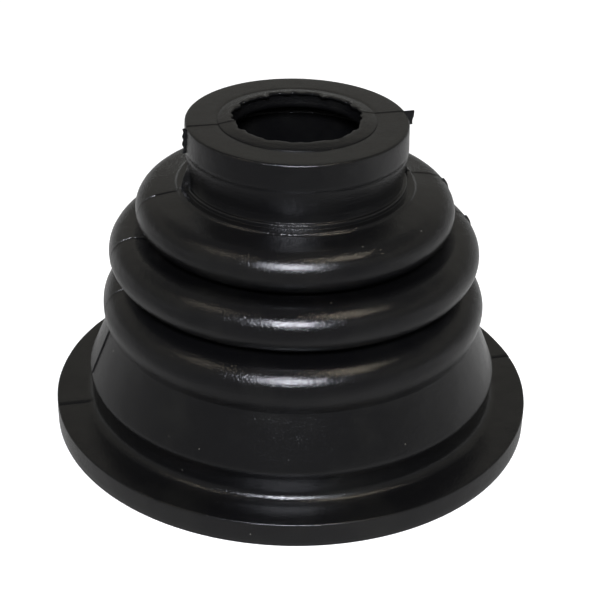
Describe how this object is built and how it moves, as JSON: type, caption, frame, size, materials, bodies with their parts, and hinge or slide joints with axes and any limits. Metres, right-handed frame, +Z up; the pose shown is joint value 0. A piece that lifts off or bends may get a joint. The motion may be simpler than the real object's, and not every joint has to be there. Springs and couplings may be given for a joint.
{
  "type": "rubber bellows boot",
  "caption": "Moulded rubber bellows boot: stepped convolutions between a flat round flange and a cylindrical collar whose top lip seals round a lever.",
  "frame": {"origin": "centre of the flange's flat underside, on the boot's axis", "axes": "+Z up the boot's axis, out of the collar; the mould's parting plane is the XZ plane"},
  "size_m": [0.11, 0.11, 0.0731],
  "materials": {
    "rubber": "satin black moulded rubber with a fine grain and a little bloom"
  },
  "bodies": {
    "root": {"boot": "rubber"}
  },
  "joints": []
}
